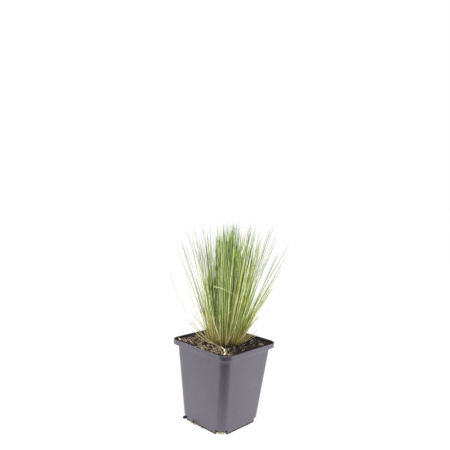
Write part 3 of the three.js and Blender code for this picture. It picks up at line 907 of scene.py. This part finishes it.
def rippled(paths, rng, amount):
    """Slow sideways waves, growing from nothing at the root."""
    count, steps = paths.shape[:2]
    share = np.linspace(0, 1, steps)
    for axis in (0, 1):
        phase = rng.uniform(0, TURN, (count, 1))
        rate = rng.uniform(4, 11, (count, 1))
        paths[:, :, axis] += amount * share**0.8 * (np.sin(rate * share + phase) - np.sin(phase))
    return paths


def add_blades(piece, rows, kind, rng, spans=12):
    count = len(rows)
    paths = rippled(blade_paths(rows, kind.sunk, spans), rng, RIPPLE)
    share = np.linspace(0, 1, spans + 1)[None]
    taper = (0.9 + 0.2 * np.sin(share * 2.6)) * np.clip((1 - share) / 0.12, 0.3, 1) ** 0.6
    piece.strands(
        paths,
        kind.radius * rng.uniform(0.75, 1.25, (count, 1)) * taper[:, :-1],
        sides=4,
        turn=rng.uniform(0, np.pi, count),
        tone=rows[:, TONE],
        dry=rows[:, DRIED] * rng.uniform(0.6, 1, count),
        rise=(paths[:, :, 2] - SOIL.level) / LONGEST,
        tip=share**7 * rng.uniform(0, 0.8, (count, 1)),
    )


def add_sheaths(piece, rows, kind, rng, spans=4):
    """The brown and straw-coloured sheaths that the blades rise from, short and stout."""
    rows = rows.copy()
    count = len(rows)
    rows[:, ROOT] += rng.normal(0, 0.35, (count, 2))
    rows[:, LENGTH] = rng.uniform(9, 24, count)
    paths = blade_paths(rows, kind.sunk, spans)
    share = np.linspace(0, 1, spans + 1)[None, :-1]
    piece.strands(
        paths,
        kind.sheath * rng.uniform(0.8, 1.4, (count, 1)) * (1 - 0.55 * share),
        turn=rng.uniform(0, np.pi, count),
        tone=rng.random(count),
        dry=rng.uniform(0.0, 0.75, count),
        rise=(paths[:, :, 2] - SOIL.level) / LONGEST * 0.6,
        tip=np.zeros(count),
    )


# -------- the grass


def dense_centres():
    """The middle tuft and two hexagonal rings round it."""
    centres = [(0.0, 0.0)]
    for ring in (1, 2):
        for side in range(6):
            corner, after = math.pi / 3 * side, math.pi / 3 * (side + 1)
            for i in range(ring):
                x = ((ring - i) * math.cos(corner) + i * math.cos(after)) * CROWN.pitch
                y = ((ring - i) * math.sin(corner) + i * math.sin(after)) * CROWN.pitch
                centres.append((x, y))
    return centres


def outer_centres():
    turns = [TURN * (k + 0.5) / CROWN.outer_places for k in range(CROWN.outer_places)]
    return [(CROWN.outer_radius * math.cos(t), CROWN.outer_radius * math.sin(t)) for t in turns]


SHOOTS = Values(seed=610, count=260, shortest=12, spread=55, sway=0.03, tones=(0.1, 0.9), dry=0.25, spans=6)
STRAYS = Values(seed=1191, all_round=60, sway=0.012, tones=(0.42, 1), dry=0.15, spans=18)
# Long blades that stand or arch out on their own: turn of the root about the crown in degrees, its
# distance out, lean, bend and length.
STRAY_BLADES = [
    (223, 18, 50, -38, 105), (221, 18, 32, -24, 95), (226, 17, 13, 9, 122), (218, 17, 17, 5, 112),
    (214, 15, 9, 6, 134), (231, 16, 21, 2, 118), (43, 20, 14, 17, 122), (40, 19, 17, 13, 124),
    (47, 16, 25, -5, 104), (44, 18, 21, 6, 116), (36, 17, 19, 2, 122), (55, 16, 12, 8, 132),
    (42, 16, 18, 11, 135), (49, 16, 13, 7, 139), (220, 16, 12, 6, 138), (228, 16, 16, 9, 126),
    (235, 13, 6, 4, 141), (210, 15, 9, 9, 137), (222, 15, 10, 3, 117), (232, 14, 9, 4, 122),
    (213, 13, 11, 2, 109), (240, 15, 11, 3, 114), (226, 12, 8, 4, 118), (218, 16, 8, 4, 124),
    (205, 14, 12, 2, 112), (236, 16, 9, 3, 105), (216, 14, 5, 3, 112), (230, 15, 6, 2, 108),
    (224, 17, 5, 4, 104), (209, 15, 6, 3, 115), (238, 14, 6, 4, 118), (220, 18, 6, 2, 98),
]
# Dry blades that hang bent across the tussock's front: their points from side to side, towards the
# front and upwards.
BENT_BLADES = [
    [(-15, 46, 167), (-7, 47, 166), (1, 47, 163), (8, 46, 159), (13, 44, 153)],
    [(6, 38, 139), (1, 37, 135), (-1, 36, 133), (-1, 35, 129), (-2, 34, 126)],
    [(-16, 33, 125), (-15, 34, 130), (-11, 34, 130), (-9, 33, 127)],
    [(1, 19, 93), (3, 22, 98), (7, 27, 108), (12, 33, 123), (15, 38, 135)],
    [(-4, 20, 94), (-8, 22, 95), (-17, 24, 101), (-28, 25, 110)],
    [(-14, 14, 95), (-20, 16, 97), (-29, 18, 104), (-40, 19, 113)],
    [(-10, 16, 94), (-20, 18, 99), (-30, 20, 106), (-36, 21, 111)],
]


def make_singles(name, rng, green, look, stems, sway):
    """One piece of blades that belong to no tuft: stems holds turn, distance out, lean and so on."""
    turn, out, lean, bend, length = stems
    count = len(turn)
    tone, dried = rng.uniform(*look.tones, count), rng.random(count) < look.dry
    rows = np.column_stack([polar(out, turn), lean, bend, length, sway, tone, dried])
    singles = Gathered()
    add_blades(singles, rows, SINGLE, rng, look.spans)
    singles.finish(name, green, "pale_blade")


def make_shoots(green):
    """Short young blades that crowd the tussock's foot all round."""
    rng = dice(SHOOTS.seed)
    count = SHOOTS.count
    turn, out = rng.uniform(0, TURN, count), rng.uniform(11.5, 19.5, count)
    lean, bend = rng.uniform(6, 26, count), rng.uniform(-8, 8, count)
    length = SHOOTS.shortest + SHOOTS.spread * rng.random(count) ** 1.8
    sway = rng.normal(0, SHOOTS.sway, (count, 4))
    make_singles("young_shoots", rng, green, SHOOTS, (turn, out, lean, bend, length), sway)


def make_strays(green, rng):
    """The single long blades: the ones of the list, and more of them all round."""
    count = STRAYS.all_round
    turn, out = rng.uniform(0, 360, count), rng.uniform(13, 18, count)
    lean, bend = rng.uniform(4, 20, count), rng.uniform(-4, 9, count)
    around = np.column_stack([turn, out, lean, bend, rng.uniform(115, 149, count)])
    turn, *rest = np.concatenate([STRAY_BLADES, around]).T
    sway = np.pad(rng.normal(0, STRAYS.sway, (len(turn), 2)), ((0, 0), (0, 2)))
    make_singles("stray_blades", rng, green, STRAYS, (np.radians(turn), *rest), sway)


def make_bent_blades(straw, rng, spans=20):
    one = np.ones(1)
    bent = Gathered()
    for points in BENT_BLADES:
        rightwards, frontwards, upwards = smooth_path(points, spans).T
        path = np.outer(rightwards, RIGHTWARDS) + np.outer(frontwards, TOWARDS_CAMERA)
        path += np.outer(upwards, [0, 0, 1])
        radii = rng.uniform(0.3, 0.42) * np.linspace(1, 0.35, spans)[None]
        bent.strands(path[None], radii, tone=one * rng.uniform(0, 0.4), dry=one, rise=one * 0.5)
    bent.finish("bent_dry_blades", straw, "dry_blade")


def make_tuft(name, kind, centre, seed, material, slot):
    """A fine tuft in place of the CAD tuft of that name, which grew from that seed."""
    rng = dice((kind.seed, seed))
    rows = cad_blades(kind, centre, seed)
    piece = Gathered()
    add_blades(piece, finer(rows, kind, rng), kind, rng)
    add_sheaths(piece, rows, kind, rng)
    piece.finish(name + "_fine", material, slot, name)


def make_grass(straw):
    """All tufts in place of their nodes, and the blades that stand apart from them."""
    inner = blade_material("blades_inner", FRESH_GREEN)
    outer = blade_material("blades_outer", PALE_GREEN)
    for i, centre in enumerate(dense_centres()):
        make_tuft(f"tuft_{i + 1:02d}", DENSE, centre, 100 + i, inner, "green_blade")
    for i, centre in enumerate(outer_centres()):
        if i % 3 == 1:
            make_tuft(f"dry_tuft_{i + 1:02d}", DRY, centre, 200 + i, straw, "dry_blade")
        else:
            make_tuft(f"outer_tuft_{i + 1:02d}", LOOSE, centre, 200 + i, outer, "pale_blade")
    make_shoots(outer)
    rng = dice(STRAYS.seed)
    make_strays(outer, rng)
    make_bent_blades(straw, rng)


# -------- what lies on the compost

# Points are x, y and the height above the compost, from end to end.
CURLED_LEAF = [(16.8, -23, 4.8), (20.2, -24.2, 4), (23.1, -23.8, 1.7), (24, -26.6, 1), (24.9, -29.6, 0.7)]
FALLEN_BLADE = [(27.5, -26.7, 1.5), (29.5, -30.7, 1.1), (30.8, -33.9, 1.5)]
STRAW_BIT = [(-42.2, -34.4, 3.2), (-39.4, -35.0, 1.5), (-36.9, -35.5, 1.2)]
# Place, size and turn of each chip, then the first one's tone and how it changes from chip to chip.
BARK = [
    ((-22, -30), (6.4, 3.0, 2.0), 0.4),
    ((-31, -19), (5.2, 2.8, 1.8), 2.3),
    ((-6, -33), (5.6, 2.8, 1.8), 5.5),
    ((33, 28), (6.0, 3.4, 2.2), 0.9),
]
BARK_TONES = (0.2, 0.13)
PERLITE = [((17, 31), (2.8, 2.5, 2.3), 0.3), ((-20, 25), (2.7, 2.2, 2.0), 2.0)]
PERLITE_TONES = (0.7, 0.0)
# How far above the compost a chip's middle lies, as a share of its height.
STANDING_OUT = 0.22
LOOSE_PEAT_SEED = 400
CRUMBS = 420
# Dry fibres among the crumbs: how many are tried, the points of each, and how far to the right most
# of them are left out, with the share that is. The border is what they keep inside.
FIBRES = Values(tries=640, points=9, right=8, left_out=0.82, border=42.5)


def add_ribbon(piece, points, radius, flat, spans=20):
    """A dry blade that lies along the points, broad in the middle and fine at both ends."""
    path = smooth_path(points, spans)
    path[:, 2] += coarse_soil(path[:, 0], path[:, 1])
    share = np.linspace(0, 1, spans + 1)[:-1]
    radii = radius * np.clip(np.sin(share * 2.9 + 0.12), 0.25, 1)[None]
    one = np.ones(1)
    looks = {"tone": one * 0.0, "dry": one, "rise": one * 0.5}
    piece.strands(path[None], radii, sides=8, turn=one * 0.5, flat=flat, **looks)


def make_fallen(straw):
    leaf = Gathered()
    add_ribbon(leaf, CURLED_LEAF, 1.25, 0.35)
    add_ribbon(leaf, FALLEN_BLADE, 0.9, 0.5)
    leaf.finish("curled_dry_leaf_fine", straw, "dry_blade", "curled_dry_leaf")
    bit = Gathered()
    add_ribbon(bit, STRAW_BIT, 0.75, 0.5)
    bit.finish("straw_bit_fine", straw, "dry_blade", "straw_bit")


def make_chips(name, chips, tones, material, slot, seed, **shape):
    """A piece for each chip of a list, half sunk in the compost."""
    for i, (place, size, turn) in enumerate(chips):
        centre = (*place, coarse_soil(*place) + STANDING_OUT * size[2])
        chip = Gathered()
        chip.lump(dice(seed + i), centre, size, turn, tone=tones[0] + tones[1] * i, rings=11, **shape)
        chip.finish(f"{name}_{i + 1}_fine", material, slot, f"{name}_{i + 1}")


def make_all_chips():
    bark = litter_material("bark_grain", BARK_SHADES, 1.1)
    white = litter_material("perlite_grain", PERLITE_SHADES, 0.7)
    make_chips("bark_chip", BARK, BARK_TONES, bark, "bark", 300, rough=0.16, boxy=0.55, sides=20)
    make_chips("perlite", PERLITE, PERLITE_TONES, white, "perlite", 320, rough=0.3, sides=18)


def on_compost(rng, count, nearest):
    """Random places on the compost, clear of the tussock and of the pot's wall."""
    half = POT.rim - 4.0
    x, y = rng.uniform(-half, half, (2, count * 3))
    clear = (np.hypot(x, y) > nearest) & (np.hypot(x, y) < half * 1.25)
    return zip(x[clear][:count], y[clear][:count])


def make_crumbs(peat, rng):
    crumbs = Gathered()
    for x, y in on_compost(rng, CRUMBS, nearest=19.0):
        size = rng.uniform(0.7, 2.3) * rng.uniform(0.7, 1.2, 3)
        centre = (x, y, soil_height(x, y) + 0.25 * size[2])
        crumbs.lump(rng, centre, size, rough=0.35, rings=4, sides=7, relief=0.1 + 0.55 * rng.random() ** 3)
    crumbs.finish("peat_crumbs", peat, "potting_soil")


def make_fibres(rng):
    """Dry fibres that lie curved on the crumbs, each arched a little, most of them at the left."""
    fibres = Gathered()
    tan = litter_material("peat_fibre", FIBRE_SHADES, 0.8)
    steps = FIBRES.points
    for x, y in on_compost(rng, FIBRES.tries, nearest=18.0):
        # Most pale fibres are left out at the right so that side stays darker: painted shade.
        if RIGHTWARDS.dot((x, y, 0)) > FIBRES.right and rng.random() < FIBRES.left_out:
            continue
        length, heading, curl = rng.uniform(2, 9), rng.uniform(0, TURN), rng.normal(0, 0.7)
        angles = heading + curl * np.linspace(0, 1, steps)
        x = np.clip(x + np.cumsum(np.cos(angles)) * length / steps, -FIBRES.border, FIBRES.border)
        y = np.clip(y + np.cumsum(np.sin(angles)) * length / steps, -FIBRES.border, FIBRES.border)
        arch = np.sin(np.linspace(0, np.pi, steps)) * rng.uniform(0.2, 1.4)
        path = np.column_stack([x, y, soil_height(x, y) + 0.1 + arch])
        tone = np.ones(1) * rng.random() ** 0.9
        fibres.strands(path[None], np.full((1, steps - 1), rng.uniform(0.1, 0.22)), tone=tone)
    fibres.finish("peat_fibres", tan, "dry_blade")


# -------- what lies at the pot's foot

# The knot that the roots come from in the near notch, which way most of them run in degrees, and
# how far to either side.
ROOTS = Values(seed=500, count=34, points=10, knot=(22.8, -22.8, 4.6), heading=-45, spread=44)
# Tan bits among the roots: which way each lies from the knot in degrees, and how far.
ROOT_BITS = [-80, -66, -52, -38, -24, -10]
ROOT_BITS_AWAY = 7.2
# Crumbs that fell on the floor along the pot's foot: place and size.
FOOT_CRUMBS = [((-13.0, -34.6), 2.4), ((-9.8, -34.9), 2.0), ((-6.4, -35.2), 1.6), ((3.2, -34.6), 1.3)]
# Lumps of peat in the near and the left notch: middle and size.
NOTCH_PEAT = [
    ((24.6, -24.6, 3.1), (3.8, 3.4, 3.6)),
    ((-27.3, -32.6, 2.1), (3.6, 3.2, 3.0)),
    ((-25.6, -31.0, 2.7), (4.6, 4.0, 3.6)),
]
# Peat specks that draw a dark line of painted contact shadow along the foot: their seed, how many on each
# side, and how far along they reach.
FOOT_SHADE_SPECKS = Values(seed=540, specks=75, reach=23)


def root_paths(rng):
    count, steps = ROOTS.count, ROOTS.points
    x, y, z = ROOTS.knot
    heading = math.radians(ROOTS.heading) + np.radians(rng.uniform(-ROOTS.spread, ROOTS.spread, count))
    reach, drop = rng.uniform(6.5, 10.2, count), rng.uniform(1.2, 3.9, count)
    share = np.linspace(0, 1, steps)
    away = reach[:, None] * share
    height = z + rng.uniform(-1.5, 0.2, (count, 1)) * (1 - share) - drop[:, None] * share**0.7
    heading = heading[:, None]
    paths = np.stack([x + np.cos(heading) * away, y + np.sin(heading) * away, height], axis=-1)
    paths = rippled(paths, rng, 0.55)
    paths[:, :, 2] = np.maximum(paths[:, :, 2], 0.35)
    return paths


def make_root_tips(rng, tan):
    """Fine roots that come out of the near notch and rest on the floor, with tan bits among them."""
    knot = np.array(ROOTS.knot)
    paths = root_paths(rng)
    radii = rng.uniform(0.16, 0.34, (ROOTS.count, 1)) * np.linspace(1, 0.6, ROOTS.points - 1)
    roots = Gathered()
    roots.strands(paths, radii, sides=6, tone=rng.random(ROOTS.count))
    roots.lump(rng, knot, (4.8, 4.8, 4.6), tone=0.1)
    for angle, size in zip(ROOT_BITS, rng.uniform(1.3, 2.3, len(ROOT_BITS))):
        heading = math.radians(angle)
        x, y = ROOT_BITS_AWAY * math.cos(heading), ROOT_BITS_AWAY * math.sin(heading)
        place = knot + (x, y, 0.68 * size - knot[2])
        roots.lump(rng, place, (size * 1.2, size * 1.2, size), rough=0.3, tone=rng.uniform(0.4, 1))
    roots.finish("root_tips_fine", tan, "root", "root_tips")


def make_foot_litter(rng, tan):
    litter = Gathered()
    for (x, y), size in FOOT_CRUMBS:
        shape = (size * 1.3, size, size * 0.7)
        litter.lump(rng, (x, y, size * 0.5), shape, rough=0.25, rings=5, sides=9, tone=0.15)
    litter.finish("litter_at_the_foot", tan, "root")


def make_notch_peat(rng, peat):
    clumps = Gathered()
    for centre, size in NOTCH_PEAT:
        clumps.lump(rng, centre, size, rough=0.3, rings=9, sides=14, relief=0.3)
    clumps.finish("peat_in_notches", peat, "potting_soil")


def make_foot_shade_specks(peat):
    """Specks of wet peat in the crease where the pot's straight sides meet the floor: some real soil, laid
    as a dark line that is painted contact shadow.
    """
    rng = dice(FOOT_SHADE_SPECKS.seed)
    shade_specks = Gathered()
    # The specks draw a dark line of painted contact shadow along each straight side of the foot.
    for side in range(4):
        turn = side * math.pi / 2
        along = np.array([math.cos(turn), math.sin(turn), 0])
        outwards = np.array([math.sin(turn), -math.cos(turn), 0])
        for place in rng.uniform(-FOOT_SHADE_SPECKS.reach, FOOT_SHADE_SPECKS.reach, FOOT_SHADE_SPECKS.specks):
            size = rng.uniform(0.7, 1.5, 3)
            centre = along * place + outwards * (POT.base - 0.1) + (0, 0, 0.35 * size[2])
            shade_specks.lump(rng, centre, size, rough=0.3, rings=3, sides=6, relief=0.2)
    shade_specks.finish("peat_specks_as_foot_shadow", peat, "potting_soil")


# -------- the scene


def make_loose_peat(peat):
    rng = dice(LOOSE_PEAT_SEED)
    make_crumbs(peat, rng)
    make_fibres(rng)


def make_foot(peat):
    rng = dice(ROOTS.seed)
    tan = litter_material("root_skin", ROOT_SHADES, 0.6)
    make_root_tips(rng, tan)
    make_foot_litter(rng, tan)
    make_notch_peat(rng, peat)
    make_foot_shade_specks(peat)


make_camera()
make_world()
make_lights()
make_floor()
peat = soil_material()
straw = blade_material("blades_dry", STRAW)
make_pot()
make_soil(peat)
make_grass(straw)
make_fallen(straw)
make_all_chips()
make_loose_peat(peat)
make_foot(peat)
